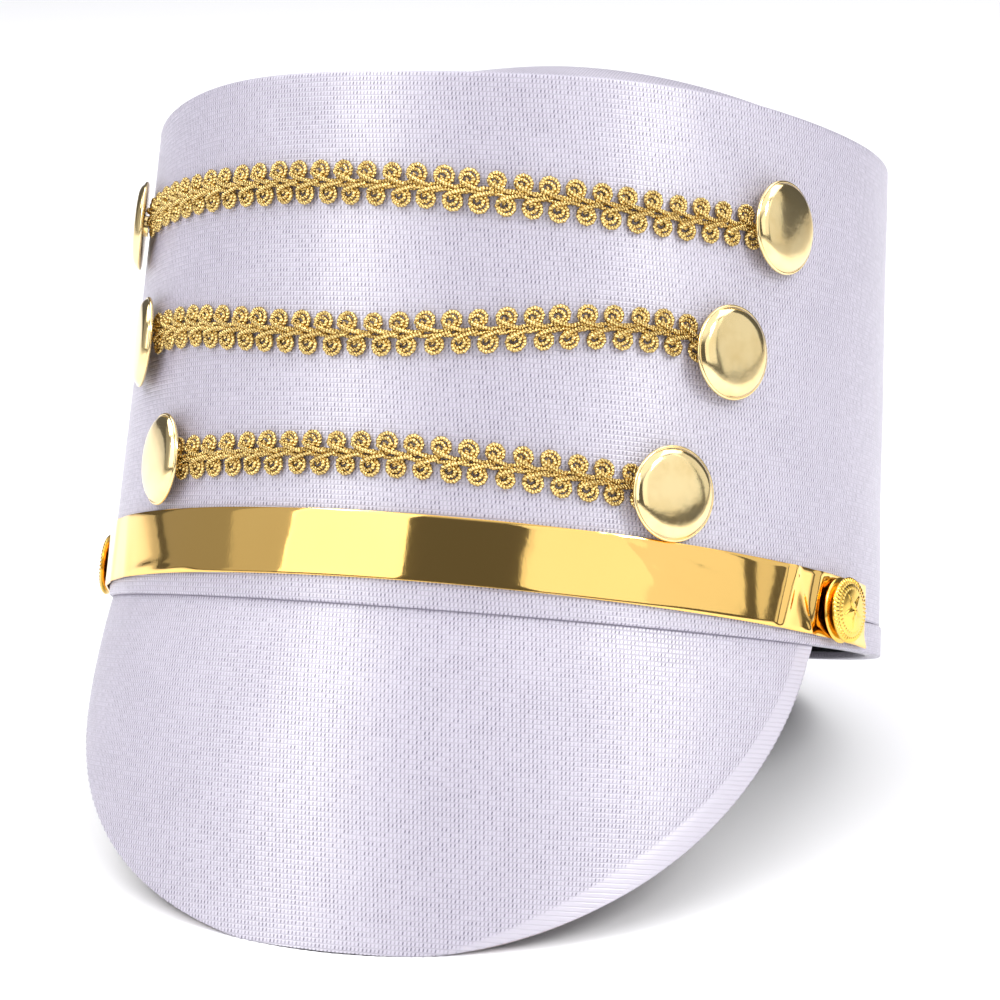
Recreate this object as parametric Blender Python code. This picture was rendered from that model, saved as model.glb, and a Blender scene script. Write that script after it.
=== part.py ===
"""A marching band hat: a tall round satin crown with a long steep peak, trimmed with three rows of
gimp braid, six flat gold buttons, and a gold band held by two small domed buttons.

The hat is modelled upright, its front towards -Y and its rim near z = 0, in the frame of the empty
"hat". The empty then tilts it back to how it rests by itself: on the peak's lower edge and on the back
of the rim. All sizes are in metres. An angle round the crown runs from the front, positive to +X.
"""

import math

import bmesh
import bpy
import numpy as np
from mathutils import Vector

# Clearance between pieces that touch on the real hat
GAP = 0.0003

# Crown, outside: an oval that narrows and leans a little on its way up
RIM_HALF_WIDTH = 0.0974
RIM_HALF_DEPTH = 0.0944
TOP_HALF_WIDTH = 0.0925
TOP_HALF_DEPTH = 0.0943
CROWN_HEIGHT = 0.1225
LEAN_SIDE = -0.0015
LEAN_FRONT = 0.0023
RIM_RISE = 0.0012
CROWN_SIDES = 72

# Upper edge: it slants and sways a little round the crown, as a sum of waves that are 0 at the front
TOP_SWAY = (
    # waves round, share with the cosine, share with the sine
    (1, 0.00135, 0.0024),
    (2, 0.00018, 0.00046),
    (3, 0.00039, -0.00035),
    (4, -0.00023, -0.00025),
    (5, -0.00055, 0.0),
)

# Crown wall: satin over board
WALL = 0.0025
WALL_EDGE_ROUND = 0.0008

# Rim strip: the satin binding folded round the wall's lower edge
STRIP_HEIGHT = 0.0074
STRIP_CLOTH = 0.0008
STRIP_PROUD = 0.0001
STRIP_INNER_LEG = 0.0016
STRIP_ROUND = 0.0005

# Sweatband
SWEATBAND = 0.0010
SWEATBAND_TOP = 0.032

# Crown top: the puffed round top
TOP_CLOTH = 0.0025
TOP_SET_DOWN = 0.0006
TOP_DOME = 0.0242
TOP_DOME_POWER = 1.7
TOP_FULLER_RIGHT = 0.31
TOP_FULLER_BACK = 0.59
TOP_RINGS = (0.0, 0.30, 0.58, 0.80, 0.93, 1.0)

# Peak: a padded sheet hung from the rim's front, leaning forward from straight down
PEAK_HALF_ANGLE = math.radians(68.3)
PEAK_LENGTH = 0.0798
PEAK_CURVE = 1.82
PEAK_FULLNESS = 1.77
PEAK_END = 0.997
PEAK_INSET = 0.0010
PEAK_THICK = 0.0035
PEAK_LEAN_MIDDLE = math.radians(7.0)
PEAK_LEAN_ADDED_AT_ENDS = math.radians(14.6)
PEAK_COLUMNS = 48
PEAK_ROWS = 8

# Side buttons' places, and the gold band across the front that they hold
SIDE_BUTTON_ANGLES = {"left": math.radians(-81.0), "right": math.radians(72.8)}
SIDE_BUTTON_HEIGHT = 0.0098
BAND_PAST_BUTTON = math.radians(9.6)
BAND_THICK = 0.0005
BAND_CLEAR = 0.0004
BAND_WIDTH = 0.0152
BAND_MIDDLE_HEIGHT = 0.0060
BAND_FALL = 0.0047
BAND_COLUMNS = 64

# Flat buttons at the ends of the braid rows
FLAT_BUTTONS = {
    # row: {side: (angle in degrees, height)}
    "top": {"left": (-60.0, 0.0924), "right": (57.2, 0.0964)},
    "middle": {"left": (-50.2, 0.0617), "right": (48.5, 0.0651)},
    "lower": {"left": (-39.4, 0.0322), "right": (40.1, 0.0310)},
}

# Gimp braid: its heights on the crown at five even stations from its left button to its right button
BRAID_THICK = 0.0016
BRAID_HALF_WIDTH = 0.0051
BRAID_LOOP_DEPTH = 0.0013
BRAID_PITCH = 0.0055
BRAID_STEPS_PER_LOOP = 4
BRAID_END_FROM_BUTTON = 0.0042
BRAID_HEIGHTS = {
    # row: heights from left to right
    "top": (0.0933, 0.0962, 0.0959, 0.0945, 0.0958),
    "middle": (0.0623, 0.0628, 0.0615, 0.0659, 0.0652),
    "lower": (0.0322, 0.0334, 0.0341, 0.0331, 0.0312),
}

# Their form. They are pushed out of square by the braid under their inner halves: radius, height rows
BUTTON_OFF_CLOTH = 0.0015
BUTTON_TURN = math.radians(9.0)
BUTTON_SIDES = 20
BUTTON_PROFILE = (
    (0.0, -0.0007),
    (0.0026, -0.0007),
    (0.0026, 0.0),
    (0.0100, 0.0),
    (0.01105, 0.0005),
    (0.0107, 0.0012),
    (0.0094, 0.0022),
    (0.0, 0.0029),
)

# Side buttons: a backing disc with a neck, and a domed face in front of it
SIDE_BACK_PROFILE = (
    (0.0, 0.0),
    (0.0066, 0.0),
    (0.0078, 0.0006),
    (0.0066, 0.0012),
    (0.0045, 0.0017),
    (0.0, 0.0017),
)
SIDE_FACE_PROFILE = (
    (0.0, 0.0020),
    (0.0062, 0.0020),
    (0.0078, 0.0027),
    (0.0076, 0.0033),
    (0.0050, 0.0040),
    (0.0, 0.0043),
)

# Rest: how far the hat tips back, and how deep its edges are pressed flat where it stands
REST_TILT = math.radians(22.23)
RIM_PRESSED = 0.0005
FLOOR_BLOCK = 0.4

# Names, colours, roughness and metallic values of the finishes
FINISHES = {
    "white_satin": ((0.80, 0.77, 0.84), 0.42, 0.0),
    "black_band": ((0.02, 0.02, 0.025), 0.85, 0.0),
    "gold_foil": ((0.90, 0.58, 0.20), 0.12, 1.0),
    "gold_braid": ((0.62, 0.43, 0.12), 0.38, 0.9),
    "pale_gold": ((0.93, 0.75, 0.42), 0.15, 1.0),
    "deep_gold": ((0.92, 0.62, 0.14), 0.2, 1.0),
}


def clear_scene():
    for old in list(bpy.data.objects):
        bpy.data.objects.remove(old, do_unlink=True)


def make_finish(name):
    colour, roughness, metallic = FINISHES[name]
    finish = bpy.data.materials.new(name)
    finish.use_nodes = True
    shader = finish.node_tree.nodes["Principled BSDF"]
    shader.inputs["Base Color"].default_value = (*colour, 1.0)
    shader.inputs["Roughness"].default_value = roughness
    shader.inputs["Metallic"].default_value = metallic
    return finish


def rim_height(angle):
    """The rim rises a little from the front to the back."""
    return RIM_RISE * (1.0 - np.cos(angle))


def top_height(angle):
    """The upper edge's height at an angle: the crown's height at the front and the sum of the waves."""
    sway = [with_cosine * (np.cos(waves * angle) - 1.0) + with_sine * np.sin(waves * angle)
            for waves, with_cosine, with_sine in TOP_SWAY]
    return CROWN_HEIGHT + sum(sway)


def crown_point(angle, height, outward=0.0):
    """Points of the crown's outer face at an angle and a height, moved out along the oval's normal."""
    angle, height, outward = np.broadcast_arrays(angle, height, outward)
    part = height / CROWN_HEIGHT
    wide = RIM_HALF_WIDTH + (TOP_HALF_WIDTH - RIM_HALF_WIDTH) * part
    deep = RIM_HALF_DEPTH + (TOP_HALF_DEPTH - RIM_HALF_DEPTH) * part
    normal_x = np.sin(angle) / wide
    normal_y = -np.cos(angle) / deep
    length = np.hypot(normal_x, normal_y)
    x = wide * np.sin(angle) + LEAN_SIDE * part + outward * normal_x / length
    y = -deep * np.cos(angle) - LEAN_FRONT * part + outward * normal_y / length
    return np.stack([x, y, height], axis=-1)


def angle_of_run(length):
    """The angle round the crown that a length along its front takes."""
    return length / (0.5 * (RIM_HALF_DEPTH + RIM_HALF_WIDTH))


def crown_normal(angle, height):
    """The outward normal of the crown's face, its taper included."""
    step = 0.001
    along = crown_point(angle + step, height) - crown_point(angle - step, height)
    up = crown_point(angle, height + step) - crown_point(angle, height - step)
    normal = np.cross(along, up)
    return normal / np.linalg.norm(normal)


def add_object(name, bm, finish, parent):
    """Closes up a bmesh into a named object with outward faces, carried by the empty."""
    bmesh.ops.remove_doubles(bm, verts=bm.verts, dist=1e-7)
    bmesh.ops.recalc_face_normals(bm, faces=bm.faces)
    mesh = bpy.data.meshes.new(name)
    bm.to_mesh(mesh)
    bm.free()
    mesh.shade_smooth()
    mesh.set_sharp_from_angle(angle=math.radians(35.0))
    mesh.materials.append(finish)
    piece = bpy.data.objects.new(name, mesh)
    bpy.context.scene.collection.objects.link(piece)
    piece.parent = parent
    return piece


def grid_faces(bm, grid, wrap_rows, wrap_columns):
    """Quads over a grid of vertices; a wrapped direction closes on itself."""
    rows, columns = len(grid), len(grid[0])
    for i in range(rows if wrap_rows else rows - 1):
        for j in range(columns if wrap_columns else columns - 1):
            below, beside = (i + 1) % rows, (j + 1) % columns
            bm.faces.new((grid[i][j], grid[i][beside], grid[below][beside], grid[below][j]))


def grid_vertices(bm, points):
    return [[bm.verts.new(point) for point in row] for row in points]


def ring_piece(name, profile, finish, parent):
    """A closed profile carried round the crown. Its rows are inset from the crown's outer face, level
    between the rim (0) and the upper edge (1), and rise above that level."""
    angle = np.linspace(0.0, 2.0 * math.pi, CROWN_SIDES, endpoint=False)
    rim, top = rim_height(angle), top_height(angle)
    points = [crown_point(angle, rim + level * (top - rim) + rise, -inset)
              for inset, level, rise in profile]
    bm = bmesh.new()
    grid_faces(bm, grid_vertices(bm, points), True, True)
    return add_object(name, bm, finish, parent)


def sheet_piece(name, outer, inner, closed_round, finish, parent):
    """A sheet with two faces given as grids of equal size, joined along its open edges."""
    bm = bmesh.new()
    front, back = grid_vertices(bm, outer), grid_vertices(bm, inner)
    grid_faces(bm, front, False, closed_round)
    grid_faces(bm, back, False, closed_round)
    edges = [(front[-1], back[-1])]
    if not closed_round:
        edges += [(front[0], back[0])]
        edges += [([row[k] for row in front], [row[k] for row in back]) for k in (0, -1)]
    for pair in edges:
        grid_faces(bm, pair, False, closed_round)
    return add_object(name, bm, finish, parent)


def turned_piece(name, profile, finish, parent):
    """A solid turned about its own Z axis from (radius, height) rows that start and end on it."""
    bm = bmesh.new()
    verts = [bm.verts.new((radius, 0.0, height)) for radius, height in profile]
    edges = [bm.edges.new(pair) for pair in zip(verts, verts[1:])]
    bmesh.ops.spin(bm, geom=verts + edges, cent=(0, 0, 0), axis=(0, 0, 1),
                   angle=2.0 * math.pi, steps=BUTTON_SIDES, use_merge=True)
    return add_object(name, bm, finish, parent)


def seat_on_crown(piece, angle, height, outward, turn=0.0):
    """Stands a turned piece on the crown, its axis along the normal, turned on away from the front."""
    facing = Vector(crown_normal(angle, height))
    sin_turn, cos_turn = math.sin(turn), math.cos(turn)
    facing = Vector((facing.x * cos_turn - facing.y * sin_turn,
                     facing.x * sin_turn + facing.y * cos_turn,
                     facing.z))
    piece.location = crown_point(angle, height, outward)
    piece.rotation_euler = facing.to_track_quat("Z", "Y").to_euler()


def make_crown_wall(finish, parent):
    recess = STRIP_CLOTH + GAP
    step_height = STRIP_HEIGHT + GAP
    half_round = 0.3 * WALL_EDGE_ROUND
    profile = (
        (recess, 0.0, recess),
        (recess, 0.0, step_height),
        (0.0, 0.0, step_height),
        (0.0, 0.5, 0.0),
        (0.0, 1.0, -WALL_EDGE_ROUND),
        (half_round, 1.0, -half_round),
        (WALL_EDGE_ROUND, 1.0, 0.0),
        (WALL, 1.0, 0.0),
        (WALL, 0.0, recess),
    )
    return ring_piece("crown_wall", profile, finish, parent)


def make_rim_strip(finish, parent):
    inner = WALL + GAP
    profile = (
        (STRIP_ROUND, 0.0, 0.0),
        (-STRIP_PROUD, 0.0, STRIP_ROUND),
        (-STRIP_PROUD, 0.0, STRIP_HEIGHT),
        (STRIP_CLOTH, 0.0, STRIP_HEIGHT),
        (STRIP_CLOTH, 0.0, STRIP_CLOTH),
        (inner, 0.0, STRIP_CLOTH),
        (inner, 0.0, STRIP_INNER_LEG),
        (inner + STRIP_CLOTH, 0.0, STRIP_INNER_LEG),
        (inner + STRIP_CLOTH, 0.0, 0.0),
    )
    return ring_piece("rim_strip", profile, finish, parent)


def make_sweatband(finish, parent):
    near, far = WALL + GAP, WALL + GAP + SWEATBAND
    low, high = STRIP_INNER_LEG + GAP, SWEATBAND_TOP
    profile = ((near, 0.0, low), (near, 0.0, high), (far, 0.0, high), (far, 0.0, low))
    return ring_piece("sweatband", profile, finish, parent)


def make_crown_top(finish, parent):
    """The edge sits just inside the wall; rings of it are scaled to the middle and raised as a dome
    that is fuller to the right and to the back."""
    angle = np.linspace(0.0, 2.0 * math.pi, CROWN_SIDES, endpoint=False)
    edge = crown_point(angle, top_height(angle) - TOP_SET_DOWN, -(WALL + GAP))
    middle = edge.mean(axis=0)
    outer = []
    for ring in TOP_RINGS:
        points = middle + ring * (edge - middle)
        points[:, 2] = middle[2] + ring**2 * (edge[:, 2] - middle[2])
        fullness = 1.0 + ring * (TOP_FULLER_RIGHT * np.sin(angle) - TOP_FULLER_BACK * np.cos(angle))
        points[:, 2] += TOP_DOME * fullness * (1.0 - ring**TOP_DOME_POWER)
        outer.append(points)
    inner = [points - (0.0, 0.0, TOP_CLOTH) for points in outer]
    return sheet_piece("crown_top", outer, inner, True, finish, parent)


def make_peak(finish, parent):
    """Straight lines run down from the rim. Their length follows a rounded outline across the peak, and
    their lean forward grows to the ends."""
    across = PEAK_END * np.sin(0.5 * math.pi * np.linspace(-1.0, 1.0, PEAK_COLUMNS + 1))
    angle = PEAK_HALF_ANGLE * across
    seam = crown_point(angle, rim_height(angle) - GAP, -PEAK_INSET)
    length = PEAK_LENGTH * (1.0 - np.abs(across) ** PEAK_CURVE) ** (1.0 / PEAK_FULLNESS)
    lean = PEAK_LEAN_MIDDLE + PEAK_LEAN_ADDED_AT_ENDS * across**2
    down = np.stack([0.0 * lean, -np.sin(lean), -np.cos(lean)], axis=-1)
    run = np.linspace(0.0, 1.0, PEAK_ROWS)[:, None] * length
    outer = seam + run[..., None] * down
    slope_across = np.gradient(outer, axis=1)
    normal = np.cross(slope_across, -down)
    normal /= np.linalg.norm(normal, axis=-1, keepdims=True)
    inner = outer - PEAK_THICK * normal
    return sheet_piece("peak", outer, inner, False, finish, parent)


def make_gold_band(finish, parent):
    left, right = SIDE_BUTTON_ANGLES["left"], SIDE_BUTTON_ANGLES["right"]
    angle = np.linspace(left - BAND_PAST_BUTTON, right + BAND_PAST_BUTTON, BAND_COLUMNS + 1)
    low = BAND_MIDDLE_HEIGHT - BAND_FALL * (1.0 - np.cos(angle))
    faces = [[crown_point(angle, height, outward) for height in (low, low + BAND_WIDTH)]
             for outward in (BAND_CLEAR + BAND_THICK, BAND_CLEAR)]
    return sheet_piece("gold_band", faces[0], faces[1], False, finish, parent)


def braid_ends(row):
    """The angles of the row's two buttons."""
    return [math.radians(FLAT_BUTTONS[row][side][0]) for side in ("left", "right")]


def braid_height(row, angle):
    """The row's middle line: a smooth curve through its five heights, spaced evenly along it."""
    heights = BRAID_HEIGHTS[row]
    stations = np.linspace(*braid_ends(row), len(heights))
    return np.polyval(np.polyfit(stations, heights, len(heights) - 1), angle)


def make_braid(row, finish, parent):
    """A strip with looped edges: both edges swing out once for each loop, half a loop apart."""
    left, right = braid_ends(row)
    tuck = angle_of_run(BRAID_END_FROM_BUTTON)
    start, end = left + tuck, right - tuck
    step = angle_of_run(BRAID_PITCH / BRAID_STEPS_PER_LOOP)
    count = int(round((end - start) / step))
    angle = np.linspace(start, end, count + 1)
    turn = math.pi * np.arange(count + 1) / BRAID_STEPS_PER_LOOP
    waist = BRAID_HALF_WIDTH - BRAID_LOOP_DEPTH
    upper = waist + BRAID_LOOP_DEPTH * np.abs(np.sin(turn))
    lower = waist + BRAID_LOOP_DEPTH * np.abs(np.cos(turn))
    middle = braid_height(row, angle)
    faces = [[crown_point(angle, height, outward) for height in (middle - lower, middle + upper)]
             for outward in (GAP + BRAID_THICK, GAP)]
    return sheet_piece(f"braid_{row}", faces[0], faces[1], False, finish, parent)


def make_flat_buttons(row, finish, parent):
    for side, (degrees, height) in FLAT_BUTTONS[row].items():
        button = turned_piece(f"button_{row}_{side}", BUTTON_PROFILE, finish, parent)
        turn = math.copysign(BUTTON_TURN, degrees)
        seat_on_crown(button, math.radians(degrees), height, BUTTON_OFF_CLOTH, turn)


def make_side_buttons(finish, parent):
    outward = BAND_CLEAR + BAND_THICK + GAP
    for side, angle in SIDE_BUTTON_ANGLES.items():
        for part, profile in (("back", SIDE_BACK_PROFILE), ("face", SIDE_FACE_PROFILE)):
            button = turned_piece(f"side_button_{part}_{side}", profile, finish, parent)
            seat_on_crown(button, angle, SIDE_BUTTON_HEIGHT, outward)


def rest_offset(pieces):
    """Where the tilted empty stands: the back of the rim is pressed a little into z = 0, and the
    footprint's box is centred."""
    bpy.context.view_layer.update()
    points = np.array([piece.matrix_world @ vertex.co
                       for piece in pieces for vertex in piece.data.vertices])
    middle = 0.5 * (points.min(axis=0) + points.max(axis=0))
    back = crown_point(math.pi, rim_height(math.pi))
    rest_line = -math.sin(REST_TILT) * back[1] + math.cos(REST_TILT) * back[2]
    return Vector((-middle[0], -middle[1], -(rest_line + RIM_PRESSED)))


def press_flat(piece, floor):
    """Cuts the piece off level where it meets what the hat stands on."""
    cut = piece.modifiers.new("pressed_flat", "BOOLEAN")
    cut.operation = "DIFFERENCE"
    cut.solver = "EXACT"
    cut.object = floor


def make_floor_block():
    """The block that stands for the surface below z = 0; it only cuts."""
    bpy.ops.mesh.primitive_cube_add(size=FLOOR_BLOCK, location=(0.0, 0.0, -0.5 * FLOOR_BLOCK))
    floor = bpy.context.active_object
    floor.name = "floor_block"
    floor.hide_render = True
    floor.display_type = "WIRE"
    return floor


def main():
    clear_scene()
    finishes = {name: make_finish(name) for name in FINISHES}
    hat = bpy.data.objects.new("hat", None)
    bpy.context.scene.collection.objects.link(hat)

    make_crown_wall(finishes["white_satin"], hat)
    strip = make_rim_strip(finishes["white_satin"], hat)
    make_sweatband(finishes["black_band"], hat)
    make_crown_top(finishes["white_satin"], hat)
    peak = make_peak(finishes["white_satin"], hat)
    make_gold_band(finishes["gold_foil"], hat)
    for row in FLAT_BUTTONS:
        make_braid(row, finishes["gold_braid"], hat)
        make_flat_buttons(row, finishes["pale_gold"], hat)
    make_side_buttons(finishes["deep_gold"], hat)

    hat.rotation_euler = (-REST_TILT, 0.0, 0.0)
    hat.location = rest_offset(hat.children)
    floor = make_floor_block()
    press_flat(strip, floor)
    press_flat(peak, floor)


main()
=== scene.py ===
"""A marching band hat in white satin with a long padded peak, three rows of gold gimp braid between
flat gold buttons, and a gold foil band held by two small domed buttons.

Every piece is worked out upright, in the hat's own frame: metres, the front towards -Y, the rim near
z = 0, and angles round the crown from the front, positive to +X. rest_hat() then leans it back to how
it rests on the edge of its peak and the back of its rim.
"""
import math

import bmesh
import bpy
import numpy as np
from mathutils import Matrix


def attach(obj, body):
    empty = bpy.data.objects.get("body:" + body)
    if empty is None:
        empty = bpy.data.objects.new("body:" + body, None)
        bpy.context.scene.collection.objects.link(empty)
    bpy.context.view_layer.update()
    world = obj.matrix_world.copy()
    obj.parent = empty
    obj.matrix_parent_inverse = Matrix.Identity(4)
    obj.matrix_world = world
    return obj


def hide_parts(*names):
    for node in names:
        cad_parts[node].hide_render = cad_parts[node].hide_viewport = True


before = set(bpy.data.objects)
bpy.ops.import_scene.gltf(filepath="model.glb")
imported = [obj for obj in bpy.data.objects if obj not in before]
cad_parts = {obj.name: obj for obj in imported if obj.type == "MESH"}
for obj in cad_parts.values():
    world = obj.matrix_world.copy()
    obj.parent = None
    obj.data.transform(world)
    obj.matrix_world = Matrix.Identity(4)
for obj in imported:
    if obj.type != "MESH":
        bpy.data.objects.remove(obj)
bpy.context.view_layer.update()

# ---- Camera: a long lens, a little to the right of the front and a little above the crown's middle,
# turned slightly about its own line of sight.
CAMERA_PLACE = (0.245795, -0.748957, 0.299477)
CAMERA_RIGHT = (0.953835, 0.298699, -0.031259)
CAMERA_UP = (-0.055935, 0.278944, 0.958677)
CAMERA_BACK = (0.295075, -0.912671, 0.282774)
CAMERA_LENS = 117.86

camera = bpy.data.objects.new("camera", bpy.data.cameras.new("camera"))
camera.data.sensor_width = 36.0
camera.data.lens = CAMERA_LENS
camera.matrix_world = Matrix([
    [CAMERA_RIGHT[k], CAMERA_UP[k], CAMERA_BACK[k], CAMERA_PLACE[k]] for k in range(3)
] + [[0.0, 0.0, 0.0, 1.0]])
bpy.context.scene.collection.objects.link(camera)
bpy.context.scene.camera = camera
bpy.context.scene.view_settings.view_transform = "Standard"

# ---- Crown wall: satin drawn round a stiff board tube and turned in over its upper edge, closed by
# one plain sewn seam down the back. The cloth has fine raised rows that run round the hat, each with
# short slanting dashes between its threads, and it lies a little uneven on the board.
GAP = 0.0003
RIM_HALF_WIDTH, RIM_HALF_DEPTH = 0.0974, 0.0944
TOP_HALF_WIDTH, TOP_HALF_DEPTH = 0.0925, 0.0943
CROWN_HEIGHT = 0.1225
LEAN_SIDE, LEAN_FRONT = -0.0015, 0.0023
RIM_RISE = 0.0012
TOP_SWAY = (
    # waves round, share with the cosine, share with the sine
    (1, 0.00135, 0.0024),
    (2, 0.00018, 0.00046),
    (3, 0.00039, -0.00035),
    (4, -0.00023, -0.00025),
    (5, -0.00055, 0.0),
)
WALL = 0.0025
WALL_EDGE_ROUND = 0.0008
STRIP_HEIGHT = 0.0074
STRIP_CLOTH = 0.0008

REST_TILT = math.radians(22.23)
REST_PLACE = (0.0013646148, -0.0024136752, 0.0329745263)

SATIN_THREAD = (0.545, 0.508, 0.605)
# SATIN_SHADE: painted shade for the gaps between the threads, which also takes the faint clouds of tone.
SATIN_SHADE = (0.08, 0.065, 0.12)
# Tone of the peak's turned roll, mixed in halfway there as part of its painted highlight.
SATIN_LIT_ROLL = (0.50, 0.468, 0.535)
ROW_PITCH = 0.00111
DASH_PITCH = 0.00092

SEAM_WIDTH, SEAM_DEPTH = 0.0011, 0.0006
CREASES = (
    # from (angle, height) to (angle, height), half width, depth
    ((14.0, 0.1165), (24.0, 0.1030), 0.0032, 0.00018),
    ((46.0, 0.1185), (54.0, 0.1060), 0.0034, 0.00022),
    ((-20.0, 0.1120), (-8.0, 0.0990), 0.0050, 0.00014),
)
SWELLS = (
    # waves round, waves up the crown, phase, depth
    (5, 0.8, 0.4, 0.00016),
    (9, -1.1, 2.1, 0.00010),
    (14, 1.7, 4.4, 0.00006),
    (3, 2.3, 1.2, 0.00010),
)


def rim_height(angle):
    """The rim rises by a cosine from the front to the back."""
    return RIM_RISE * (1.0 - np.cos(angle))


def top_height(angle):
    """The upper edge: the height at the front and a sum of waves that are 0 there."""
    return CROWN_HEIGHT + sum(
        with_cosine * (np.cos(waves * angle) - 1.0) + with_sine * np.sin(waves * angle)
        for waves, with_cosine, with_sine in TOP_SWAY)


def crown_point(angle, height, outward=0.0):
    """A point of an oval whose half width and half depth change evenly with height, moved out along
    the oval's normal."""
    angle, height, outward = np.broadcast_arrays(angle, height, outward)
    part = height / CROWN_HEIGHT
    wide = RIM_HALF_WIDTH + (TOP_HALF_WIDTH - RIM_HALF_WIDTH) * part
    deep = RIM_HALF_DEPTH + (TOP_HALF_DEPTH - RIM_HALF_DEPTH) * part
    normal_x, normal_y = np.sin(angle) / wide, -np.cos(angle) / deep
    length = np.hypot(normal_x, normal_y)
    x = wide * np.sin(angle) + LEAN_SIDE * part + outward * normal_x / length
    y = -deep * np.cos(angle) - LEAN_FRONT * part + outward * normal_y / length
    return np.stack([x, y, height], axis=-1)


def run_of(angle):
    """The length round the rim that an angle takes."""
    return angle * 0.5 * (RIM_HALF_WIDTH + RIM_HALF_DEPTH)


def rest_hat(points):
    """Leans points back about the X axis and moves them to where the hat rests."""
    cosine, sine = math.cos(REST_TILT), math.sin(REST_TILT)
    x, y, z = points[..., 0], points[..., 1], points[..., 2]
    return np.stack([x, y * cosine + z * sine, z * cosine - y * sine], axis=-1) + REST_PLACE


def smooth_step(low, high, value):
    """0 below low, 1 above high, and a smooth cubic rise between them."""
    part = np.clip((value - low) / (high - low), 0.0, 1.0)
    return part * part * (3.0 - 2.0 * part)


class Amount:
    """A number that a finish's nodes work out over the surface; sums and products add Math nodes."""

    def __init__(self, finish, socket):
        self.finish, self.socket = finish, socket

    def made(self, operation, *values):
        node = self.finish.node("ShaderNodeMath", {"operation": operation},
                                dict(enumerate(values)))
        return Amount(self.finish, node.outputs[0])

    def __add__(self, other):
        return self.made("ADD", self, other)

    def __radd__(self, other):
        return self.made("ADD", other, self)

    def __sub__(self, other):
        return self.made("SUBTRACT", self, other)

    def __rsub__(self, other):
        return self.made("SUBTRACT", other, self)

    def __mul__(self, other):
        return self.made("MULTIPLY", self, other)

    def __rmul__(self, other):
        return self.made("MULTIPLY", other, self)

    def __truediv__(self, other):
        return self.made("DIVIDE", self, other)

    def __abs__(self):
        return self.made("ABSOLUTE", self)

    def __pow__(self, other):
        return self.made("POWER", self, other)

    def part(self):
        """What is left over the last whole number."""
        return self.made("FRACT", self)

    def whole(self):
        return self.made("FLOOR", self)

    def sine(self):
        return self.made("SINE", self)

    def rise(self, low, high):
        """0 below low, 1 above high, smooth between them."""
        node = self.finish.node("ShaderNodeMapRange", {"interpolation_type": "SMOOTHSTEP"},
                                {"Value": self, "From Min": low, "From Max": high})
        return Amount(self.finish, node.outputs["Result"])


class Nodes:
    """A tree of nodes, built one node at a time."""

    def __init__(self, owner):
        owner.use_nodes = True
        self.tree = owner.node_tree

    def put(self, value, socket):
        """Sets or links one socket."""
        source = value.socket if isinstance(value, Amount) else value
        if isinstance(source, bpy.types.NodeSocket):
            self.tree.links.new(source, socket)
        elif isinstance(source, tuple) and len(source) == 3 and socket.type == "RGBA":
            socket.default_value = (*source, 1.0)
        else:
            socket.default_value = source

    def node(self, kind, settings, sockets):
        """A node of one type: its settings first, and then the values or links of its sockets."""
        node = self.tree.nodes.new(kind)
        for setting, value in settings.items():
            setattr(node, setting, value)
        for socket, value in sockets.items():
            self.put(value, node.inputs[socket])
        return node

    def split(self, vector):
        """The three amounts of a vector."""
        node = self.node("ShaderNodeSeparateXYZ", {}, {0: vector})
        return [Amount(self, output) for output in node.outputs]


class Finish(Nodes):
    """A material made node by node. Constants go on the shader's own sockets."""

    def __init__(self, name, constants):
        self.material = bpy.data.materials.new(name)
        super().__init__(self.material)
        self.shader = self.tree.nodes["Principled BSDF"]
        for socket, value in constants.items():
            self.put(value, self.shader.inputs[socket])

    def along_and_up(self):
        """The piece's own cloth coordinates in metres: along its rows, and across them."""
        place = self.node("ShaderNodeUVMap", {"uv_map": "cloth"}, {})
        return self.split(place.outputs["UV"])[:2]

    def cloud(self, scale, detail, stretch=(1.0, 1.0, 1.0)):
        """Soft noise through the piece, as many lumps to a metre as scale, around 0.5."""
        place = self.node("ShaderNodeTexCoord", {}, {})
        stretched = self.node("ShaderNodeMapping", {},
                              {"Vector": place.outputs["Object"], "Scale": stretch})
        noise = self.node("ShaderNodeTexNoise", {},
                          {"Vector": stretched.outputs[0], "Scale": scale, "Detail": detail})
        return Amount(self, noise.outputs[0])

    def chance(self, across, up):
        """A random number from 0 to 1 for each cell of two whole numbers."""
        cell = self.node("ShaderNodeCombineXYZ", {}, {0: across, 1: up})
        noise = self.node("ShaderNodeTexWhiteNoise", {"noise_dimensions": "2D"},
                          {"Vector": cell.outputs[0]})
        return Amount(self, noise.outputs["Value"])

    def marked(self, name):
        """A number stored on the piece's points, or 0 where it has none."""
        return Amount(self, self.node("ShaderNodeAttribute", {"attribute_name": name}, {}).outputs["Fac"])

    def blend(self, share, first, second):
        """The first colour, going over to the second by share."""
        node = self.node("ShaderNodeMix", {"data_type": "RGBA"}, {0: share, 6: first, 7: second})
        return node.outputs[2]

    def finish(self, **surface):
        """Links what varies over the surface: colour, roughness, and a relief height in metres."""
        names = {"colour": "Base Color", "roughness": "Roughness", "metallic": "Metallic"}
        for word, value in surface.items():
            if word == "relief":
                bump = self.node("ShaderNodeBump", {}, {"Height": value, "Distance": 1.0})
                self.put(bump.outputs[0], self.shader.inputs["Normal"])
            else:
                self.put(value, self.shader.inputs[names[word]])
        return self.material


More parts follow.
